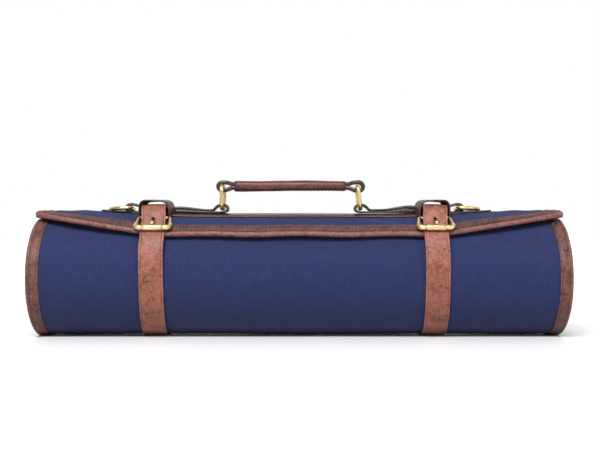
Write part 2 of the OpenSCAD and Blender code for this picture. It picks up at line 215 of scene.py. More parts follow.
def roll_point(x, u, depth):
    """Points at a depth under the canvas's face, from numbers or arrays that broadcast together."""
    x, u, depth = np.broadcast_arrays(np.asarray(x, float), np.asarray(u, float), np.asarray(depth, float))
    a = angle_of(x, u)
    r = radius_at(a) + relief(x, a) + lift(x, u) - depth
    z = AXIS_Z + r * np.sin(np.radians(a))
    ends = smooth((np.abs(x) - 0.212) / 0.012)
    sag = (0.0017 - 0.0006 * ends) * (1 - under_straps(x))
    floor = np.maximum(CANVAS_FLOOR - sag + depth, 0.0001)
    drawn_in = 1 - 0.004 * smooth(1 - u / 75) - 0.0075 * np.abs(np.sin(np.radians(a))) ** 3
    return xyz(x * drawn_in, AXIS_Y - r * np.cos(np.radians(a)), np.maximum(z, floor))


def degrees_for(x, distance):
    """Degrees of u that a distance along the flap takes, near its edge."""
    return distance / (EDGE_R * radians(1) * (FLAP_TOP_A - edge_angle(x)) / FLAP_U)


def angle_to_u(x, a):
    """The u of a point at an angle round the axis, the other way round from angle_of."""
    e = edge_angle(np.asarray(x, float))
    return np.where(a < FLAP_TOP_A, (a - e) * FLAP_U / (FLAP_TOP_A - e), a - EDGE_A)


def polar(a, r):
    """[y, z] at an angle and a radius round the roll's axis."""
    return AXIS_Y - r * cos(radians(a)), AXIS_Z + r * sin(radians(a))


def seam_on_roll(x, u, height, above):
    """A line at a height over the canvas, and its way up, towards a second height."""
    points = roll_point(x, u, -height)
    return points, roll_point(x, u, -above) - points


# ---- mesh making
def add_object(name, data):
    obj = bpy.data.objects.new(name, data)
    bpy.context.scene.collection.objects.link(obj)
    return obj


def new_mesh(name, verts, faces, uvs=None, wear=None):
    """A smooth mesh object, with a per-point attribute of wear and painted light kept at its points: above 0
    is pale, from rubbed wear and painted highlight; below 0 is dark, from burnished edges and painted shade.
    """
    mesh = bpy.data.meshes.new(name)
    mesh.from_pydata([tuple(v) for v in verts], [], [tuple(int(i) for i in f) for f in faces])
    mesh.polygons.foreach_set("use_smooth", [True] * len(mesh.polygons))
    if uvs is not None:
        layer = mesh.uv_layers.new(name="UVMap")
        ids = np.zeros(len(mesh.loops), int)
        mesh.loops.foreach_get("vertex_index", ids)
        layer.data.foreach_set("uv", np.asarray(uvs, float)[ids].ravel())
    attribute = mesh.attributes.new("wear", "FLOAT", "POINT")
    attribute.data.foreach_set("value", np.zeros(len(verts)) if wear is None else np.asarray(wear, float))
    mesh.update()
    return add_object(name, mesh)


def recalc(obj):
    """Turns every face outwards."""
    bm = bmesh.new()
    bm.from_mesh(obj.data)
    bmesh.ops.recalc_face_normals(bm, faces=bm.faces)
    bm.to_mesh(obj.data)
    bm.free()
    return obj


def ring_faces(rings, count, closed):
    """Quads between successive rings of points, with flat ends where the run isn't closed."""
    faces = []
    for i in range(rings if closed else rings - 1):
        j = (i + 1) % rings
        for k in range(count):
            n = (k + 1) % count
            faces.append((i * count + k, i * count + n, j * count + n, j * count + k))
    if not closed:
        faces.append(tuple(range(count))[::-1])
        faces.append(tuple((rings - 1) * count + k for k in range(count)))
    return faces


def run_lengths(points):
    """Distance along a line at each of its points."""
    steps = np.linalg.norm(np.diff(points, axis=0), axis=1)
    return np.concatenate([[0], np.cumsum(steps)])


def sample(values, run, at):
    """Values at distances along a line whose points lie at the distances in run."""
    return np.stack([np.interp(at, run, values[:, k]) for k in range(values.shape[1])], -1)


def from_rings(name, rings, closed=False, wear=None):
    """A mesh from an array of rings of points: (ring, point, xyz)."""
    n, m = rings.shape[:2]
    along = run_lengths(rings.mean(1))
    around = run_lengths(rings[n // 2])
    uvs = np.stack(np.broadcast_arrays(around[None, :], along[:, None]), -1).reshape(-1, 2)
    wear_and_light_values = None if wear is None else np.broadcast_to(np.asarray(wear, float), (n, m)).ravel()
    return recalc(new_mesh(name, rings.reshape(-1, 3), ring_faces(n, m, closed), uvs, wear_and_light_values))


def shell(name, xs, us, top_d, under_d):
    """A sheet of the roll between two depths, with its own thickness and rims."""
    gx, gu = np.meshgrid(xs, us, indexing="ij")
    n, m = gx.shape
    verts = np.concatenate([roll_point(gx, gu, depth).reshape(-1, 3) for depth in (top_d, under_d)])
    flat = np.stack([gx, gu * EDGE_R * radians(1)], -1).reshape(-1, 2)
    ids = np.arange(n * m).reshape(n, m)
    low = ids + n * m
    faces = []
    a, b, c, d = ids[:-1, :-1], ids[1:, :-1], ids[1:, 1:], ids[:-1, 1:]
    faces += list(np.stack([a, b, c, d], -1).reshape(-1, 4))
    a, b, c, d = low[:-1, :-1], low[:-1, 1:], low[1:, 1:], low[1:, :-1]
    faces += list(np.stack([a, b, c, d], -1).reshape(-1, 4))
    for first, second in ((ids[:, 0], low[:, 0]), (low[:, -1], ids[:, -1]),
                          (low[0, :], ids[0, :]), (ids[-1, :], low[-1, :])):
        faces += list(np.stack([first[:-1], second[:-1], second[1:], first[1:]], -1))
    return recalc(new_mesh(name, verts, faces, np.concatenate([flat, flat])))


def spline(points, step, closed=False):
    """A smooth line through the points, with even steps along it."""
    pts = np.asarray(points, float)
    n = len(pts)
    out = []
    for i in range(n if closed else n - 1):
        near = [(i + k) % n if closed else min(max(i + k, 0), n - 1) for k in (-1, 0, 1, 2)]
        p0, p1, p2, p3 = pts[near]
        for t in np.linspace(0, 1, 12, endpoint=False):
            out.append(0.5 * (2 * p1 + (p2 - p0) * t + (2 * p0 - 5 * p1 + 4 * p2 - p3) * t * t
                              + (3 * p1 - p0 - 3 * p2 + p3) * t ** 3))
    out.append(pts[0] if closed else pts[-1])
    return resample(np.array(out), step, closed)


def resample(line, step, closed=False):
    """The same line with even steps. A closed one comes with its first point repeated at the end."""
    run = run_lengths(line)
    count = max(int(round(run[-1] / step)), 3)
    at = np.linspace(0, run[-1], count + 1)
    if closed:
        at = at[:-1]
    return sample(line, run, at)


def close_loop(path, step):
    """A ring of points with even steps, from a line whose end isn't joined to its start."""
    return resample(np.vstack([path, path[:1]]), step, True)


def unit(vectors):
    return vectors / np.linalg.norm(vectors, axis=1)[:, None]


def tangents(path, closed=False):
    if closed:
        t = np.roll(path, -1, 0) - np.roll(path, 1, 0)
    else:
        t = np.gradient(path, axis=0)
    return unit(t)


def arc(centre, r, from_a, to_a, count):
    a = np.radians(np.linspace(from_a, to_a, count))
    return np.stack([centre[0] + r * np.cos(a), centre[1] + r * np.sin(a)], -1)


def fillet(points, radius, closed=True, count=7):
    """Rounds the corners of a polyline in space."""
    pts = [np.asarray(p, float) for p in points]
    radii = radius if hasattr(radius, "__len__") else [radius] * len(pts)
    out = []
    for i, p in enumerate(pts):
        if not closed and i in (0, len(pts) - 1):
            out.append(p)
            continue
        a, b = pts[i - 1] - p, pts[(i + 1) % len(pts)] - p
        a, b = a / np.linalg.norm(a), b / np.linalg.norm(b)
        half = acos(np.clip(a @ b, -1, 1)) / 2
        back = radii[i] / tan(half)
        middle = p + (a + b) / np.linalg.norm(a + b) * radii[i] / sin(half)
        start, end = p + a * back - middle, p + b * back - middle
        turn = acos(np.clip(start @ end / radii[i] ** 2, -1, 1))
        for t in np.linspace(0, 1, count):
            swung = sin((1 - t) * turn) * start + sin(t * turn) * end
            out.append(middle + swung / sin(turn))
    return np.array(out)


def tube(name, path, radius, closed=False, sides=20):
    """Round wire along a path. radius is one number, or one for each point."""
    path = np.asarray(path, float)
    t = tangents(path, closed)
    radii = np.broadcast_to(np.asarray(radius, float), len(path)).copy()
    if not closed:
        before, after = path[0] - t[0] * radii[0] * 0.35, path[-1] + t[-1] * radii[-1] * 0.35
        path = np.concatenate([[before], path, [after]])
        t = np.concatenate([t[:1], t, t[-1:]])
        radii = np.concatenate([[radii[0] * 0.6], radii, [radii[-1] * 0.6]])
    normal = np.cross(t[0], [0.3, 0.5, 0.81])
    normal /= np.linalg.norm(normal)
    rings = []
    for p, d, r in zip(path, t, radii):
        normal = normal - (normal @ d) * d
        normal /= np.linalg.norm(normal)
        other = np.cross(d, normal)
        a = np.linspace(0, 2 * pi, sides, endpoint=False)[:, None]
        rings.append(p + r * (np.cos(a) * normal + np.sin(a) * other))
    return from_rings(name, np.array(rings), closed)


def lathe_x(name, x_and_r, centre, sides=40):
    """A turned piece round an axis along X; centre is its [y, z]."""
    a = np.linspace(0, 2 * pi, sides, endpoint=False)
    rings = [xyz(x, centre[0] + r * np.cos(a), centre[1] + r * np.sin(a)) for x, r in x_and_r]
    return from_rings(name, np.array(rings))


def strap_profile(width, thick, dome=0.0, groove=0.0018):
    """Cross-section of a strap: soft edges and a stitching groove along each. Rows are across, up, and wear
    and painted light: dark burnished edges, pale rubbed shoulders, painted shade in the grooves, and darker
    underneath.
    """
    h, t = width / 2, thick / 2
    half = [(h, -t * 0.45, -1), (h, t * 0.35, -0.8), (h - 0.0003, t * 0.8, 0.5), (h - 0.0008, t, 0.8)]
    # The groove's dark row is painted shade.
    if groove:
        half += [(h - groove + 0.0004, t, 0.3), (h - groove, t - 0.00022, -0.5)]
        half += [(h - groove - 0.0004, t, 0.2)]
    half += [(h * 0.6, t + dome * 0.6, 0), (h * 0.25, t + dome, 0)]
    mirrored = [(-x, y, w) for x, y, w in half[::-1]]
    under = [(-h + 0.0006, -t, -0.6), (0, -t, -0.3), (h - 0.0006, -t, -0.6)]
    return np.array(half + mirrored + under)


def sweep(name, path, side, profile, closed=False, widths=1.0, heights=1.0):
    """A strap along a path. side is the direction across it; up is to the left of the path."""
    path = np.asarray(path, float)
    side = np.broadcast_to(np.asarray(side, float), path.shape)
    up = unit(np.cross(side, tangents(path, closed)))
    wide, high = (np.broadcast_to(v, len(path))[:, None, None] for v in (widths, heights))
    rings = (path[:, None, :] + side[:, None, :] * profile[None, :, 0:1] * wide
             + up[:, None, :] * profile[None, :, 1:2] * high)
    return from_rings(name, rings, closed, profile[None, :, 2])


def join(name, objects):
    """One piece made of several separate shells."""
    for o in bpy.data.objects:
        o.select_set(o in objects)
    bpy.context.view_layer.objects.active = objects[0]
    bpy.ops.object.join()
    objects[0].name = name
    objects[0].data.name = name
    return objects[0]


def stitch_mesh(name, lines, step=0.0033, length=0.0018, r=0.00044):
    """Threads laid end to end along lines, each a pair of arrays: points and the way up."""
    along = np.array([-1, -0.72, 0, 0.72, 1])
    fat = np.array([0.3, 0.85, 1, 0.85, 0.3])
    sides = 6
    a = np.linspace(0, 2 * pi, sides, endpoint=False)
    verts, faces, count = [], [], 0
    base = ring_faces(len(along), sides, False)
    for points, ups in lines:
        run = run_lengths(points)
        at = np.arange(step * 0.6, run[-1] - step * 0.4, step)
        c, n = sample(points, run, at), sample(ups, run, at)
        ahead = sample(points, run, at + step * 0.3) - c
        t = unit(ahead)
        n = unit(n - (n * t).sum(1)[:, None] * t)
        b = np.cross(n, t)
        for ci, ti, ni, bi in zip(c, t, n, b):
            ring = (ci + along[:, None, None] * ti * length / 2
                    + (fat[:, None] * np.cos(a))[..., None] * bi * r
                    + (fat[:, None] * np.sin(a))[..., None] * ni * r * 0.8)
            verts.append(ring.reshape(-1, 3))
            faces += [tuple(i + count for i in f) for f in base]
            count += len(along) * sides
    return new_mesh(name, np.concatenate(verts), faces)


# ---- materials
def material(name, roughness, metallic=0.0):
    mat = bpy.data.materials.new(name)
    mat.use_nodes = True
    tree = mat.node_tree
    bsdf = tree.nodes["Principled BSDF"]
    set_inputs(bsdf, {"Roughness": roughness, "Metallic": metallic})
    return mat, tree, bsdf


def feed(socket, value):
    """Gives a socket a constant number or colour, or links it to another node's output."""
    if hasattr(value, "is_output"):
        socket.id_data.links.new(value, socket)
    elif isinstance(value, (tuple, list)):
        socket.default_value = (*value, 1.0)
    else:
        socket.default_value = value


def node(tree, kind, **inputs):
    """A new node. A name that starts with _ sets a property, and the others feed inputs."""
    n = tree.nodes.new(kind)
    for key, value in inputs.items():
        if key.startswith("_"):
            setattr(n, key[1:], value)
        else:
            feed(n.inputs[key], value)
    return n


def set_inputs(bsdf, values):
    for name, value in values.items():
        feed(bsdf.inputs[name], value)


def coordinates(tree, kind="Object"):
    return tree.nodes.new("ShaderNodeTexCoord").outputs[kind]


def stretched(vector, scale):
    """Coordinates scaled apart by direction, so that a noise on them runs in streaks."""
    n = node(vector.id_data, "ShaderNodeMapping", Vector=vector)
    n.inputs["Scale"].default_value = scale
    return n.outputs[0]


def math_node(operation, a, b=0.0, clamp=False):
    n = node((a if hasattr(a, "is_output") else b).id_data, "ShaderNodeMath", _operation=operation)
    n.use_clamp = clamp
    feed(n.inputs[0], a)
    feed(n.inputs[1], b)
    return n.outputs[0]


def times(a, b, clamp=False):
    return math_node("MULTIPLY", a, b, clamp)


def plus(a, b, clamp=False):
    return math_node("ADD", a, b, clamp)


def mix_colour(factor, a, b):
    n = node(factor.id_data, "ShaderNodeMix", _data_type="RGBA")
    for place, value in ((0, factor), (6, a), (7, b)):
        feed(n.inputs[place], value)
    return n.outputs[2]


def spread(value, low, high, to_low=0.0, to_high=1.0):
    """Maps low to high onto another range, and clamps outside it."""
    n = node(value.id_data, "ShaderNodeMapRange")
    for i, v in enumerate((value, low, high, to_low, to_high)):
        feed(n.inputs[i], v)
    return n.outputs[0]


def noise(vector, scale, detail=4.0, rough=0.5):
    n = node(vector.id_data, "ShaderNodeTexNoise", Vector=vector, Scale=scale, Detail=detail)
    n.inputs["Roughness"].default_value = rough
    return n.outputs["Fac"]


def bump(height, strength, distance, under=None):
    n = node(height.id_data, "ShaderNodeBump", Height=height, Strength=strength, Distance=distance)
    if under is not None:
        feed(n.inputs["Normal"], under)
    return n.outputs[0]


def canvas_material(name, deep, bright, thread, sheen=0.12):
    """Plain-woven cotton: warp and weft threads that pass over and under, with slubs and soft fading."""
    mat, tree, bsdf = material(name, 0.86)
    flat = coordinates(tree, "UV")
    split = node(tree, "ShaderNodeSeparateXYZ", Vector=flat)
    u = times(split.outputs[0], pi / thread)
    v = times(split.outputs[1], pi / thread)
    su, sv = math_node("SINE", u), math_node("SINE", v)
    over = math_node("GREATER_THAN", times(su, sv), 0.0)
    warp, weft = math_node("ABSOLUTE", su), math_node("ABSOLUTE", sv)
    weave = plus(times(warp, over), times(weft, math_node("SUBTRACT", 1.0, over)))
    slubs = plus(noise(stretched(flat, (30, 900, 1)), 1.0, 3.0),
                 noise(stretched(flat, (900, 30, 1)), 1.0, 3.0))
    streak = noise(stretched(flat, (420, 110, 1)), 1.0, 4.0, 0.6)
    cloud = noise(coordinates(tree), 14.0, 5.0, 0.6)
    tone = plus(times(weave, 0.45), times(slubs, 0.4))
    tone = plus(tone, spread(streak, 0.3, 0.7, -0.22, 0.22))
    tone = plus(tone, spread(cloud, 0.3, 0.7, -0.14, 0.14), clamp=True)
    threads = bump(weave, 0.5, 0.00018)
    set_inputs(bsdf, {"Base Color": mix_colour(tone, deep, bright),
                      "Roughness": spread(cloud, 0.3, 0.7, 0.8, 0.92),
                      "Normal": bump(slubs, 0.25, 0.0002, threads),
                      "Sheen Weight": sheen, "Sheen Roughness": 0.5, "Specular IOR Level": 0.25})
    return mat


def leather_material(name, deep, mid, pale, grain=1500.0, gloss=0.5, creases=0.4, shine=0.3):
    """Pull-up leather: pebbled grain, creases with painted shade in them, clouded colour, pale worn ridges
    with painted highlights, and dark burnished edges with painted shade.
    """
    mat, tree, bsdf = material(name, gloss)
    place = coordinates(tree)
    pebbles = node(tree, "ShaderNodeTexVoronoi", _feature="SMOOTH_F1", Vector=place, Scale=grain)
    cloud = noise(place, 95.0, 7.0, 0.68)
    fine = noise(place, 420.0, 5.0, 0.6)
    shift = node(tree, "ShaderNodeTexNoise", Vector=place, Scale=90.0, Detail=3.0)
    small = node(tree, "ShaderNodeVectorMath", _operation="SCALE", Scale=0.006)
    feed(small.inputs[0], shift.outputs["Color"])
    warped = node(tree, "ShaderNodeVectorMath", _operation="ADD")
    feed(warped.inputs[0], place)
    feed(warped.inputs[1], small.outputs[0])
    veins = node(tree, "ShaderNodeTexVoronoi", _feature="DISTANCE_TO_EDGE", Scale=170.0,
                 Vector=warped.outputs[0])
    crease = spread(veins.outputs["Distance"], 0.0, 0.09, 1.0, 0.0)
    # The per-point attribute: above 0 is pale rubbed wear and painted highlight, below 0 is dark burnished
    # edges and painted shade.
    wear = node(tree, "ShaderNodeAttribute", _attribute_name="wear").outputs["Fac"]
    patchy = spread(fine, 0.35, 0.6, 0.15, 1.0)
    wear_and_light_values = times(wear, patchy, clamp=True)
    burnished_and_shaded = times(wear, -0.9, clamp=True)
    base = mix_colour(spread(cloud, 0.36, 0.62), deep, mid)
    base = mix_colour(spread(fine, 0.42, 0.72, 0.0, 0.6), base, pale)
    base = mix_colour(times(wear_and_light_values, 0.7), base, pale)
    base = mix_colour(times(burnished_and_shaded, 0.75), base, [c * 0.35 for c in deep])
    # Painted shade: the colour is darkened in the creases.
    crease_shade = times(crease, 0.3 * creases)
    base = mix_colour(crease_shade, base, [c * 0.4 for c in deep])
    low = bump(pebbles.outputs["Distance"], 0.35, 0.00022)
    ridged = bump(crease, -0.35 * creases, 0.00025, low)
    set_inputs(bsdf, {"Base Color": base, "Normal": bump(fine, 0.25, 0.0002, ridged),
                      "Roughness": spread(cloud, 0.3, 0.7, gloss - 0.09, gloss + 0.12),
                      "Specular IOR Level": shine})
    return mat


def brass_material(name, clean, tarnish, roughness=0.22):
    """Antique brass: brushed, polished where it rubs and browned where it doesn't."""
    mat, tree, bsdf = material(name, roughness, 1.0)
    place = coordinates(tree)
    patches = noise(place, 150.0, 5.0, 0.6)
    lines = noise(stretched(place, (300, 2600, 2600)), 1.0, 3.0)
    rubbed = spread(patches, 0.3, 0.6)
    set_inputs(bsdf, {"Base Color": mix_colour(rubbed, tarnish, clean),
                      "Roughness": spread(patches, 0.35, 0.7, roughness + 0.16, roughness),
                      "Normal": bump(lines, 0.06, 0.00006)})
    return mat


def plain_material(name, colour, roughness, scale):
    """A dull surface with a little mottling."""
    mat, tree, bsdf = material(name, roughness)
    cloud = noise(coordinates(tree), scale, 4.0)
    mottled = mix_colour(spread(cloud, 0.3, 0.7), [c * 0.75 for c in colour], colour)
    set_inputs(bsdf, {"Base Color": mottled, "Normal": bump(cloud, 0.2, 0.0001)})
    return mat


NAVY = canvas_material("navy_canvas", (0.0048, 0.0078, 0.0345), (0.0140, 0.0210, 0.0810), 0.00052, 0.04)
LINING = canvas_material("lining_cotton", (0.26, 0.19, 0.11), (0.48, 0.38, 0.25), 0.0004)
POCKET = canvas_material("pocket_canvas", (0.03, 0.036, 0.085), (0.06, 0.07, 0.15), 0.00052)
BINDING = leather_material("binding_leather", (0.026, 0.0095, 0.0078), (0.112, 0.038, 0.030),
                           (0.215, 0.085, 0.070))
STRAP = leather_material("strap_leather", (0.080, 0.025, 0.0145), (0.220, 0.072, 0.046), (0.36, 0.138, 0.10))
TRIM = leather_material("trim_leather", (0.015, 0.006, 0.005), (0.045, 0.018, 0.014), (0.10, 0.046, 0.037),
                        gloss=0.34, shine=0.5)
GRIP = leather_material("grip_leather", (0.034, 0.0090, 0.0072), (0.088, 0.024, 0.019), (0.18, 0.060, 0.048),
                        gloss=0.42)
BRASS = brass_material("antique_brass", (0.80, 0.62, 0.31), (0.56, 0.40, 0.17))
THREAD = plain_material("brown_thread", (0.05, 0.02, 0.015), 0.8, 900.0)
NAVY_THREAD = plain_material("navy_thread", (0.03, 0.035, 0.08), 0.8, 900.0)


def finish_piece(obj, mat, replaced=(), body="roll"):
    """Gives a piece its material and its body, and hides the CAD nodes that it stands for."""
    obj.data.materials.clear()
    obj.data.materials.append(mat)
    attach(obj, body)
    if replaced:
        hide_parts(*replaced)
    return obj


def sew(name, lines, slot, body="roll", thread=THREAD, **sizes):
    """Stitches along lines, as a piece of their own. The slot argument is not used."""
    finish_piece(stitch_mesh(name + "_stitches", lines, **sizes), thread, body=body)


def lay_on_roll(name, x, u, rows, mat, raised=0.0):
    """Leather that follows the roll, from rows that end with mm above the canvas, and wear and painted
    light.
    """
    rings = roll_point(x, u, -rows[None, :, 1] * 0.001 - raised)
    piece = from_rings(name + "_leather", rings, False, rows[None, :, 2])
    finish_piece(piece, mat, [name])


# ---- the rolled panel
def stations(low, high, step):
    """Evenly spaced places from low to high, about a step apart."""
    return np.linspace(low, high, int(round((high - low) / step)) + 1)


def panel_angles(from_u, to_u):
    """Finer steps on the outer turn, which shows, than inside."""
    fine = [u for u in np.arange(0, 400, 2.5) if from_u < u < to_u]
    coarse = [u for u in np.arange(400, END_U, 5) if from_u < u < to_u]
    return np.array([from_u] + fine + coarse + [to_u])


def panel_length(from_u, to_u):
    """Length of the panel along its turns, 1 mm under the canvas's face."""
    u = panel_angles(from_u, to_u)
    return float(run_lengths(roll_point(np.zeros(len(u)), u, 0.001))[-1])


def make_panel():
    inset = 0.0014
    flat_size = (2 * HALF, panel_length(0, END_U))
    xs = stations(-HALF + inset, HALF - inset, 0.0032)
    canvas = shell("outer_canvas_cloth", xs, panel_angles(0.8, END_U - 1), 0.0, CANVAS_T)
    finish_piece(canvas, NAVY, ["outer_canvas"])
    xs = stations(-HALF + inset, HALF - inset, 0.0095)
    lining = shell("lining_cloth", xs, panel_angles(1.2, END_U - 1.4), LINING_D, INNER_D)
    finish_piece(lining, LINING, ["lining"])


def make_pockets():
    """Pocket cloth stitched down between the tools' places, and the cover that folds over their tips."""
    pocket_deg, end_u = 26.0, END_U - 14
    for name, low, high, from_u, fullness in (("tool_pockets", -HALF + 0.014, 0.020, 150, 1.0),
                                              ("tip_cover", 0.064, HALF - 0.014, 140, 0.35)):
        xs = stations(low, high, 0.012)
        us = panel_angles(from_u, end_u)
        puff = 0.0016 * np.abs(np.sin(np.pi * (us[None, :] - from_u) / pocket_deg)) ** 0.7 * fullness
        piece = shell(name + "_cloth", xs, us, POCKET_D + puff, POCKET_D + POCKET_T + puff)
        finish_piece(piece, POCKET, [name])
        panel_length(from_u, end_u)
        if name == "tool_pockets":
            x = stations(low + 0.004, high - 0.002, 0.004)
            inside = -(POCKET_D + POCKET_T + 0.0001)
            further = -(POCKET_D + POCKET_T + 0.0021)
            lines = [seam_on_roll(x, u, inside, further)
                     for u in np.arange(from_u + pocket_deg, END_U - 20, pocket_deg)]
            sew("pocket", lines, "pocket_cloth", thread=NAVY_THREAD, step=0.0036, length=0.0026)


def make_end_binding(side):
    """Stitched leather folded over one end of the panel, all round the spiral."""
    # Each row: mm in from the end, mm above the canvas, and wear and painted light: dark burnished edges,
    # pale rubbed shoulders and fold, painted shade in the stitching grooves.
    rows = np.array([
        (11.5, -0.1, -1), (11.3, 0.7, -0.2), (10.8, 1.1, 0.6), (10.3, 1.12, 0.2),
        (9.9, 0.88, -0.6), (9.5, 1.12, 0), (7.5, 1.16, 0), (5.5, 1.18, 0), (3.6, 1.14, 0),
        (3.2, 0.88, -0.6), (2.8, 1.12, 0.2), (1.4, 1.1, 0.5), (0.5, 0.75, 0.9),
        (0.05, 0.1, 0.6), (0, -0.9, 0), (0.05, -1.9, 0), (0.5, -2.6, 0), (1.4, -2.95, 0),
        (6, -3.0, 0), (11, -2.95, 0), (11.5, -2.3, -1)])
    sign = 1 if side == "right" else -1
    name = "end_binding_" + side
    x = sign * (HALF - rows[None, :, 0] * 0.001)
    lay_on_roll(name, x, panel_angles(-0.6, END_U - 0.5)[:, None], rows, BINDING)
    lines = [seam_on_roll(sign * (HALF - distance * 0.001), panel_angles(3, 420), 0.00105, 0.003)
             for distance in (9.9, 3.2)]
    sew(name, lines, "binding_leather")


def over_end_band(x):
    """How much higher the flap's binding lies where it crosses the bindings of the ends."""
    return OVER_END_BAND * smooth((np.abs(x) - END_BAND_X) / 0.003)


def make_flap_binding():
    """Leather folded over the flap's free edge, with a rolled lip and two rows of stitching."""
    # Each row: mm in from the flap's edge, mm above the canvas, and wear and painted light: a burnished
    # inner edge, painted shade over the top band and in its grooves, and a lip rubbed pale with a painted
    # highlight.
    rows = np.array([
        (11.4, -0.1, -1), (11.2, 0.75, -0.1), (10.8, 1.15, 0.6), (10.0, 1.2, 0.3),
        (9.5, 0.9, -0.9), (9.0, 1.2, -0.5), (8.0, 1.25, -0.45), (6.0, 1.3, -0.45),
        (4.4, 1.2, -0.5), (3.6, 0.95, -0.8), (3.1, 0.62, -1), (2.6, 0.9, -0.4),
        (2.0, 1.5, 0.4), (1.0, 1.95, 0.8), (-0.2, 1.95, 1), (-1.2, 1.45, 1),
        (-1.9, 0.5, 0.9), (-2.1, -0.6, 0.6), (-1.8, -1.7, 0.2), (-1.0, -2.5, 0),
        (0.4, -2.9, 0), (4, -3.0, 0), (9, -3.0, 0), (11.2, -2.9, 0), (11.4, -2.2, -1)])
    xs = stations(-HALF - 0.0003, HALF + 0.0003, 0.0025)
    u = degrees_for(xs[:, None], rows[None, :, 0] * 0.001)
    raised = over_end_band(xs[:, None]) * (rows[None, :, 1] > -0.2)
    lay_on_roll("flap_binding", xs[:, None], u, rows, BINDING, raised)
    x = stations(-HALF + 0.004, HALF - 0.004, 0.003)
    lines = [seam_on_roll(x, degrees_for(x, distance * 0.001), 0.0012 + over_end_band(x), 0.004)
             for distance in (9.5, 3.4)]
    sew("flap_binding", lines, "binding_leather")


def make_inner_edge():
    """Leather folded over the panel's edge at the heart of the roll."""
    # Each row: degrees in from the edge, and mm above the canvas.
    rows = np.array([
        (0, 0.6), (0, -2.4), (0.4, -2.9), (6, -3.0), (12, -2.9), (12.6, -2.2), (12.6, 0.4),
        (12, 1.05), (6, 1.1), (0.4, 1.0)])
    xs = stations(-HALF + BINDING_W, HALF - BINDING_W, 0.012)
    rings = roll_point(xs[:, None], END_U - rows[None, :, 0], -rows[None, :, 1] * 0.001)
    piece = from_rings("inner_edge_leather", rings)
    finish_piece(piece, BINDING, ["inner_edge_binding"])


# ---- leather fittings on the roll
def strip_taper(x):
    """The base strip's width, as a share of the full one: it narrows towards both ends."""
    return 1 - 0.55 * smooth((np.abs(x) - 0.105) / 0.075)


def make_base_strip():
    """The long strip along the top that carries the anchors."""
    low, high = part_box("base_strip")
    # Each row: angle round the axis, mm above the canvas, and wear and painted light: a dark burnished edge,
    # a pale rubbed shoulder, painted shade in the stitching groove.
    rows = [(69.1, 0.0, -1), (69.0, 0.9, -0.6), (69.4, 1.35, 0.6), (70.3, 1.4, 0.2), (70.8, 1.15, -0.5),
            (71.3, 1.4, 0)]
    rows += [(a, 1.42, 0) for a in np.linspace(73, 107, 13)]
    rows += [(180 - a, h, w) for a, h, w in rows[5::-1]]
    rows = np.array(rows)
    xs = stations(low.x, high.x, 0.003)
    a = np.broadcast_to(rows[None, :, 0], (len(xs), len(rows))).copy()
    ends = np.minimum(xs - low.x, high.x - xs)
    narrow = np.sqrt(np.clip(1 - (1 - np.clip(ends / 0.008, 0, 1)) ** 2, 0.02, 1))
    a = 90 + (a - 90) * (0.9 * strip_taper(xs) * (0.5 + 0.5 * narrow))[:, None]
    lay_on_roll("base_strip", xs[:, None], angle_to_u(xs[:, None], a), rows, TRIM)
    x = stations(low.x + 0.006, high.x - 0.006, 0.003)
    lines = [seam_on_roll(x, angle_to_u(x, 90 + 0.9 * side_a * strip_taper(x)), 0.00135, 0.004)
             for side_a in (-19.2, 19.2)]
    sew("base_strip", lines, "trim_leather")


def bulk(along):
    """1 where an anchor is packed out beside a keeper, falling to 0 towards the handle's ring."""
    return smooth((along + 0.012) / 0.012) * (1 - smooth((along - 0.019) / 0.029))


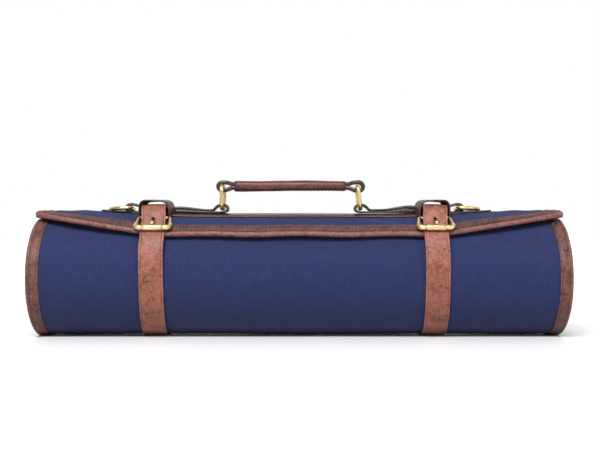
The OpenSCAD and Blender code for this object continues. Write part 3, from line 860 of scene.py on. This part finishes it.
def make_anchor(side, ring, d_ring, hump):
    """A doubled strap with a loop at each end, on the base strip, lifted where it clears the buckle."""
    away = 1 if ring.x > d_ring.x else -1
    layer = 0.0016
    low_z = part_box("anchor_" + side)[0].z + layer / 2
    up_z = low_z + layer + 0.0001
    strap_x = STRAP_X[side]

    def near(pivot, *offsets):
        return [(pivot.x + away * x * 0.001, pivot.z + z * 0.001) for x, z in offsets]

    upper = near(d_ring, (0, 4.05), (2.6, 3.7), (7, 2.2), (11.5, 1.0))
    over_strip = [(-0.007, 0.0009), (0.007, 0.0010), (0.0165, hump * 0.9)]
    over_strip += [(x, hump * bulk(x)) for x in (0.021, 0.026, 0.031, 0.036, 0.041)]
    upper += [(strap_x + away * x, up_z + z) for x, z in over_strip]
    upper += [(ring.x - away * 0.0135, up_z + 0.0001), (ring.x - away * 0.009, up_z)]
    pinch = len(upper) - 2
    around = near(ring, (-4.8, 2.1), (-0.6, 3.6), (3.4, 2.5), (4.7, -0.2), (3.3, -2.4), (0.2, -3.1))
    full = (0.2 + hump * 300) * 0.001
    lower = [(x, low_z + full * bulk(away * (x - strap_x))) for x in
             np.linspace(ring.x - away * 0.006, d_ring.x + away * 0.006, 14)]
    back = near(d_ring, (-0.3, -3.1), (-3.2, -2.3), (-4.3, 0.6), (-3.0, 3.2))
    line = spline(np.array(upper + around + lower + back), 0.0011, closed=True)
    path = xyz(line[:, 0], 0.0, line[:, 1])
    above = smooth((line[:, 1] - low_z - 0.0008) / 0.0008)
    hugging = sum(np.exp(-(((line[:, 0] - p.x) / 0.0065) ** 4)) for p in (ring, d_ring))
    body = bulk(away * (line[:, 0] - strap_x))
    thick = 1 + above * (0.5 * hugging + 0.75 * body) + (1 - above) * 2 * full / layer * body
    profile = strap_profile(0.0206, layer, groove=0.0016)
    piece = sweep(f"anchor_{side}_leather", path, (0, -away, 0), profile, True, heights=thick)
    finish_piece(piece, TRIM, ["anchor_" + side])
    top = spline(np.array(upper[3:pinch + 2]), 0.0015)
    lines = []
    for y in (-0.0086, 0.0086):
        rise = layer / 2 * (1 + 0.75 * bulk(away * (top[:, 0] - strap_x))) - 0.0001
        pts = xyz(top[:, 0], y, top[:, 1] + rise)
        lines.append((pts, np.tile([0.0, 0, 1], (len(pts), 1))))
    y = np.linspace(-0.009, 0.009, 8)
    cross_z = up_z + layer / 2 + 0.0002
    pts = xyz(ring.x - away * 0.011, y, cross_z)
    lines.append((pts, np.tile([0.0, 0, 1], (len(y), 1))))
    sew("anchor_" + side, lines, "trim_leather")


def strap_line():
    """Middle of a wrap strap as [y, z]: from the back, under the roll, up the front, over the top."""
    half = STRAP_T / 2 + 0.0001
    start_a, leave_a, under_a, step_a, count = 122, 342.0, 404.0, 5.5, 9
    front_r = EDGE_R + BINDING_T + 0.0004 + STRAP_T / 2
    leave_r = radius_at(leave_a) + half
    pts = []
    for a in np.arange(start_a, leave_a, step_a):
        y, z = polar(a, radius_at(a) + half)
        pts.append((y, max(z, CANVAS_FLOOR - half)))
    for i in range(count + 1):
        r = leave_r + (front_r - leave_r) * smooth(i / count)
        pts.append(polar(leave_a + (under_a - leave_a) * i / count, r))
    top = 0.1176
    over = [(-0.0385, 0.099), (-0.0343, 0.1065), (-0.0302, 0.1131), (-0.0262, 0.1158),
            (-0.022, top - 0.0012), (-0.017, top - 0.0006), (-0.012, top - 0.0002), (0, top),
            (0.015, top - 0.0005)]
    return np.array(pts + [(AXIS_Y + y, z) for y, z in over])


def cut_hole(obj, centre, through, width, length, depth=0.006):
    """Punches a slot with round ends through a strap, along a direction."""
    through = np.array(through) / np.linalg.norm(through)
    d = np.cross(through, (1, 0, 0))
    a = np.linspace(-90, 90, 9)
    turn = [radians(t + 90) for t in a]
    top = [(cos(t) * width / 2, length / 2 + sin(t) * width / 2) for t in turn]
    outline = top + [(-x, -y) for x, y in top]
    rings = np.array([[np.array(centre) + np.array([x, 0, 0]) + d * y + through * s for x, y in outline]
                      for s in (-depth, depth)])
    cutter = from_rings("cutter", rings)
    mod = obj.modifiers.new("hole", "BOOLEAN")
    mod.object = cutter
    mod.solver = "EXACT"
    bpy.context.view_layer.objects.active = obj
    bpy.ops.object.modifier_apply(modifier=mod.name)
    bpy.data.objects.remove(cutter)


def make_wrap_strap(side):
    """A strap round the roll and through its buckle, with holes and a rounded tail."""
    x0 = STRAP_X[side]
    mirror = 1 if side == "left" else -1
    step = 0.0022
    line = spline(strap_line(), step)
    y, z = line[:, 0], line[:, 1]
    lower = smooth((0.06 - z) / 0.06) * (y < 0.01)
    shift = smooth((0.098 - z) / 0.02) * (0.0005 * np.sin(z * 40 + mirror) - 0.0012 * mirror * lower)
    over_top = smooth((z - 0.104) / 0.012)
    askew = np.interp(y, [-0.03, -0.022, -0.010, 0.016], [-0.0009, -0.0011, 0.0013, 0.0032])
    shift += mirror * over_top * askew
    path = xyz(x0 + shift, y, z)
    profile = strap_profile(STRAP_W - 0.0005, STRAP_T, dome=0.00012)
    # The tail's tip is rounded.
    left = np.arange(len(path))[::-1] * step
    tip = np.sqrt(np.clip(1 - (1 - np.clip(left / 0.011, 0, 1)) ** 2, 0.06, 1))
    outward = unit(np.cross((1, 0, 0), tangents(path)))
    name = "wrap_strap_" + side
    piece = sweep(name + "_leather", path, (1, 0, 0), profile, widths=tip)
    cut_hole(piece, (x0, AXIS_Y - 0.0358, 0.1041), (0, 1, 0.26), 0.0028, 0.0012)
    for at_y in (0.0035, -0.0095):
        k = int(np.argmin(np.abs(y - at_y) + (z < 0.1)))
        cut_hole(piece, path[k], outward[k], 0.0034, 0.0004, 0.004)
    finish_piece(piece, STRAP, [name])
    lines = []
    width = (STRAP_W / 2 - 0.0020) * tip
    for s in (-1, 1):
        pts = path + (1.0, 0, 0) * (s * width)[:, None] + outward * (STRAP_T / 2 - 0.00012)
        lines.append((pts[2:-2], outward[2:-2]))
    sew(name, lines, "strap_leather", step=0.0027, length=0.0018, r=0.00028)


def make_chape(side):
    """Leather folded round the buckle's heel bar, in two cheeks beside the prong."""
    t = 0.0015
    bend = 0.0017 + 0.00035 + t / 2
    sew_r = radius_at(75) + 0.0014 + 0.0003 + t / 2
    upper_r = sew_r + t + 0.0001
    path = np.concatenate([[polar(a, sew_r) for a in (78.5, 72, 66)], arc(HEEL, bend, -62, -250, 16),
                           [polar(a, upper_r) for a in (70.5, 78.5)]])
    line = spline(path, 0.0009)
    cheeks = []
    for s in (-1, 1):
        path = xyz(STRAP_X[side] + s * 0.0061, line[:, 0], line[:, 1])
        cheeks.append(sweep("cheek", path, (1, 0, 0), strap_profile(0.0074, t, groove=0.0013)))
    piece = join(f"chape_{side}_leather", cheeks)
    finish_piece(piece, TRIM, ["chape_" + side])


def make_keeper(side):
    """A loose leather band over the strap's tail, standing skewed and slack."""
    mirror = 1 if side == "left" else -1
    low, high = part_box("keeper_" + side)
    t = 0.0017
    # The band seen from the front, as mm across from the strap's middle and mm up.
    shape = [(-12.9, 104.5), (-13.1, 109.5), (-13.0, 114), (-12.3, 118.2), (-9.6, 120.9), (-4, 121.4),
             (2, 121.5), (7.4, 121.2), (11.2, 119.2), (12.9, 114.5), (13.3, 109.5), (13.2, 104.5)]
    line = spline(np.array(shape) * 0.001, 0.0012)
    middle_y = (low.y + high.y) / 2
    half = (high.y - low.y) / 2
    profile = strap_profile(2 * half, t, groove=0.0016)
    tangent = tangents(line)
    normal = np.stack([-tangent[:, 1], tangent[:, 0]], -1)
    rings = []
    for p, n in zip(line, normal):
        across = profile[:, 0]
        skew = (0.0006 + 0.0021 * across / half) * (0.75 + 0.25 * smooth((p[1] - 0.105) / 0.012))
        settle = 0.0004 * across / half * np.sign(p[0]) * min(abs(p[0]) / 0.012, 1)
        x = STRAP_X[side] + mirror * (p[0] + n[0] * profile[:, 1] + skew)
        rings.append(xyz(x, middle_y + across, p[1] + n[1] * profile[:, 1] + settle))
    piece = from_rings(f"keeper_{side}_leather", np.array(rings), False, profile[None, :, 2])
    finish_piece(piece, TRIM, ["keeper_" + side])


# ---- brass
def make_buckle_frame(side):
    """Four rounded bars, the front one thinned to carry the roller."""
    x0 = STRAP_X[side]
    heel_half, front_half = 0.0133, 0.0153
    corners = [(x0 - heel_half, *HEEL), (x0 + heel_half, *HEEL), (x0 + front_half, *FRONT_BAR),
               (x0 - front_half, *FRONT_BAR)]
    path = close_loop(fillet(corners, [0.0022, 0.0022, 0.0034, 0.0034]), 0.0008)
    to_front = np.clip((HEEL[1] - path[:, 2]) / (HEEL[1] - FRONT_BAR[1]), 0, 1)
    radii = 0.0018 + 0.0006 * smooth((to_front - 0.25) / 0.7)
    inside = np.abs(path[:, 0] - x0) < ROLLER_LEN / 2 + 0.0004
    radii = np.where(inside, 0.00168, radii)
    piece = tube(f"buckle_{side}_brass", path, radii, True, 20)
    finish_piece(piece, BRASS, ["buckle_frame_" + side], side + "_buckle")


def make_roller(side):
    h, r, bore = ROLLER_LEN / 2, ROLLER_R, 0.0018
    edge = [(-h, bore), (-h, r - 0.0005), (-h + 0.00015, r - 0.0002), (-h + 0.0005, r), (-h * 0.5, r)]
    outline = edge + [(0, r)] + [(-x, radius) for x, radius in edge[::-1]]
    middle = STRAP_X[side]
    piece = lathe_x(f"roller_{side}_brass", [(middle + x, radius) for x, radius in outline], FRONT_BAR)
    finish_piece(piece, BRASS, ["roller_" + side], side + "_roller")


def make_prong(side):
    """A pin from the heel bar through the strap's hole to the roller, with an eye round the bar."""
    x0 = STRAP_X[side]
    tip = FRONT_BAR + (-0.0016, ROLLER_R + 0.0015)
    line = spline([HEEL + (-0.0024, -0.0005), (HEEL[0] - 0.005, HEEL[1] - 0.0011),
                   (AXIS_Y - 0.0361, 0.10345), (AXIS_Y - 0.0405, 0.1023), tip], 0.0007)
    last = len(line) - 1
    knob = np.interp(np.arange(len(line)), [0, last - 3, last - 1, last], [1.2, 1.15, 1.45, 1.3])
    path = xyz(x0, line[:, 0], line[:, 1])
    pin = tube("pin", path, knob * 0.001, False, 18)
    eye_outline = ((-0.0019, 0.0018), (-0.0019, 0.0025), (-0.0015, 0.003), (0.0015, 0.003),
                   (0.0019, 0.0025), (0.0019, 0.0018))
    eye = lathe_x("eye", [(x0 + x, radius) for x, radius in eye_outline], HEEL, 28)
    prong = join(f"prong_{side}_brass", [pin, eye])
    finish_piece(prong, BRASS, ["prong_" + side], side + "_prong")


def make_handle_ring(side, base, lean, yaw):
    """An upright ring with rounded corners, on its lower bar's middle."""
    up = np.array([-sin(lean), 0, cos(lean)])
    across = np.array([sin(yaw), cos(yaw), 0])
    b = np.array(base)
    half_bar = across * RING_W / 2
    low_left, low_right = b - half_bar, b + half_bar
    corners = [low_left, low_right, low_right + up * RING_H, low_left + up * RING_H]
    path = close_loop(fillet(corners, 0.0046, True, 9), 0.0012)
    ring = tube(f"handle_ring_{side}_brass", path, RING_WIRE, True, 24)
    finish_piece(ring, BRASS, ["handle_ring_" + side], side + "_ring")


def make_d_ring(side, pivot):
    """A D-ring lying almost flat, its straight bar in the anchor's loop."""
    sign = -1 if side == "left" else 1
    half, straight = 0.014, 0.0059
    bow = arc((straight, 0), half, -90, 90, 25)
    rounded = fillet([(0, half, 0), (0, -half, 0), (straight, -half, 0)], [0.003] * 3, False)
    lower = fillet([(straight, half, 0), (0, half, 0), (0, 0, 0)], 0.003, False)
    pts = np.vstack([np.array(rounded)[1:-1], [(x, y, 0) for x, y in bow], np.array(lower)[1:-1]])
    path = close_loop(pts, 0.0013)
    droop, tilt = radians(2.0), radians(3.4)
    z = pivot.z - path[:, 0] * sin(droop) - path[:, 1] * sin(tilt)
    path = xyz(pivot.x + sign * path[:, 0], path[:, 1], z)
    ring = tube(f"d_ring_{side}_brass", path, RING_WIRE, True, 24)
    finish_piece(ring, BRASS, ["d_ring_" + side], side + "_d_ring")


# ---- handle
def grip_box():
    """The grip's low and high corners, and the height of its middle line."""
    low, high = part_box("handle_wrap")
    return low, high, (low.z + high.z) / 2 + 0.0002


def make_grip():
    """Leather rolled round the handle and closed by a sunken seam below."""
    low, high, mid_z = grip_box()
    ry, rz = (high.y - low.y) / 2, (high.z - low.z) / 2
    seam_a, sides, power = 1.62 * pi, 40, 0.85
    xs = np.concatenate([[low.x + 0.0002, low.x + 0.0003], stations(low.x, high.x, 0.0022),
                         [high.x - 0.0003, high.x - 0.0002]])
    ends = np.minimum(np.arange(len(xs)), np.arange(len(xs))[::-1])
    size = np.where(ends == 0, 0.62, np.where(ends == 1, 0.86, np.where(ends == 2, 0.98, 1.0)))
    a = np.linspace(0, 2 * pi, sides, endpoint=False)
    seam = 0.10 * np.exp(-(((np.abs(a - seam_a)) / 0.10) ** 2))
    cy = np.sign(np.cos(a)) * np.abs(np.cos(a)) ** power
    cz = np.sign(np.sin(a)) * np.abs(np.sin(a)) ** power
    rings = []
    for x, s in zip(xs, size):
        wave = 1 + 0.018 * sin(x * 95 + 1) + 0.012 * sin(x * 210)
        bow = 0.0003 * sin(x * 60) + 0.0004 * cos((x - (low.x + high.x) / 2) * 55)
        squash = 0.03 * np.sin(2 * a + x * 40)
        r = s * wave * (1 + squash - seam)
        rings.append(xyz(x, ry * 0.97 * r * cy, mid_z + bow + rz * 0.97 * r * cz))
    grip = from_rings("grip_leather_wrap", np.array(rings))
    finish_piece(grip, GRIP, ["handle_wrap", "handle_core"], "handle")
    x = stations(low.x + 0.003, high.x - 0.003, 0.003)
    ups = np.tile([0, cos(seam_a), sin(seam_a)], (len(x), 1))
    seam_pts = xyz(x, ry * 0.93 * cos(seam_a), mid_z + rz * 0.93 * sin(seam_a))
    sew("grip", [(seam_pts, ups)], "grip_leather", "handle", step=0.0034, length=0.0024, r=0.0004)


def make_handle_strap():
    """The strap's two loops round the handle rings, which run into the ends of the grip."""
    low, high, mid_z = grip_box()
    pivot = np.array(joints["handle_level"]["pos_m"])
    right_top = np.array(RING_RIGHT) + RING_H * np.array([-sin(RIGHT_LEAN), 0, cos(RIGHT_LEAN)])
    profile = strap_profile(0.0138, 0.0035, dome=0.0001, groove=0.0015)
    loops = []
    for eye, sign, neck, r in ((pivot, 1, low.x, 0.0038), (right_top + [0.0008, 0, 0], -1, high.x, 0.0042)):
        end = (neck - eye[0]) * sign
        up = mid_z - eye[2]
        shape = [(end + 0.0012, up + 0.0018), (end - 0.0015, up + 0.0018), (end * 0.66, up + 0.00195),
                 (end * 0.42, up + 0.0029)]
        shape += [tuple(p) for p in arc((0, 0), r, 84, 276, 14) * (1.08, 1)]
        shape += [(end * 0.42, up - 0.0032), (end * 0.66, up - 0.0021), (end - 0.0015, up - 0.0018),
                  (end + 0.0012, up - 0.0018)]
        line = spline(np.array(shape), 0.0009)
        path = xyz(eye[0] + sign * line[:, 0], 0.0, eye[2] + line[:, 1])
        widths = 1 - 0.26 * smooth((line[:, 0] - 0.003) / (end - 0.004))
        loops.append(sweep("loop", path, (0, -sign, 0), profile, widths=widths))
    strap = join("handle_strap_leather", loops)
    finish_piece(strap, TRIM, ["handle_strap"], "handle")


for side in ("left", "right"):
    make_wrap_strap(side)
for make in (make_panel, make_pockets, make_flap_binding, make_inner_edge, make_base_strip):
    make()
for side in ("left", "right"):
    for make in (make_end_binding, make_chape, make_keeper, make_buckle_frame, make_roller, make_prong):
        make(side)
make_anchor("left", RING_LEFT, D_LEFT, HUMP_LEFT)
make_anchor("right", RING_RIGHT, D_RIGHT, HUMP_RIGHT)
make_handle_ring("left", RING_LEFT, 0.0, LEFT_TURN)
make_handle_ring("right", RING_RIGHT, RIGHT_LEAN, 0.0)
make_d_ring("left", D_LEFT)
make_d_ring("right", D_RIGHT)
make_grip()
make_handle_strap()


# ---- stage, light and camera
def make_stage():
    """A pale floor that glows more with distance, so that it meets the background in white."""
    mesh = bpy.data.meshes.new("floor")
    s = FLOOR_HALF
    mesh.from_pydata([(-s, -s, 0), (s, -s, 0), (s, s, 0), (-s, s, 0)], [], [(0, 1, 2, 3)])
    floor = add_object("floor", mesh)
    mat, tree, bsdf = material("pale_floor", 0.35)
    away = node(tree, "ShaderNodeVectorMath", _operation="LENGTH")
    feed(away.inputs[0], coordinates(tree))
    set_inputs(bsdf, {"Base Color": (0.76, 0.76, 0.77), "Specular IOR Level": 0.25,
                      "Emission Color": (1.0, 1.0, 1.0),
                      "Emission Strength": spread(away.outputs["Value"], 0.3, 1.8, 0.0, 0.8)})
    mesh.materials.append(mat)


def make_light():
    """A world that is bright behind the object and dim in front, and two soft lamps."""
    world = bpy.data.worlds.new("studio")
    bpy.context.scene.world = world
    world.use_nodes = True
    tree = world.node_tree
    back = tree.nodes["Background"]
    split = node(tree, "ShaderNodeSeparateXYZ", Vector=coordinates(tree, "Generated"))
    level = spread(split.outputs[1], -0.2, 0.6, 0.34, 1.05)
    feed(back.inputs["Color"], mix_colour(level, (0.0, 0.0, 0.0), (1.0, 1.0, 1.0)))
    for name, place, size, power in LIGHTS:
        data = bpy.data.lights.new(name, "AREA")
        data.shape = "RECTANGLE"
        data.size, data.size_y = size, size * 0.8
        data.energy = power
        lamp = add_object(name, data)
        lamp.location = place
        lamp.rotation_euler = (Vector((0, 0, 0.06)) - Vector(place)).to_track_quat("-Z", "Y").to_euler()


def make_camera():
    """A level camera in front of the roll, just under the height of its top."""
    data = bpy.data.cameras.new("camera")
    data.lens = CAMERA_LENS_MM
    data.sensor_width = 36
    data.clip_end = 50
    camera = add_object("camera", data)
    camera.location = (CAMERA_X, AXIS_Y - CAMERA_BACK, CAMERA_Z)
    camera.rotation_euler = (pi / 2, 0, 0)
    bpy.context.scene.camera = camera


make_stage()
make_light()
make_camera()
bpy.context.scene.view_settings.view_transform = "Standard"
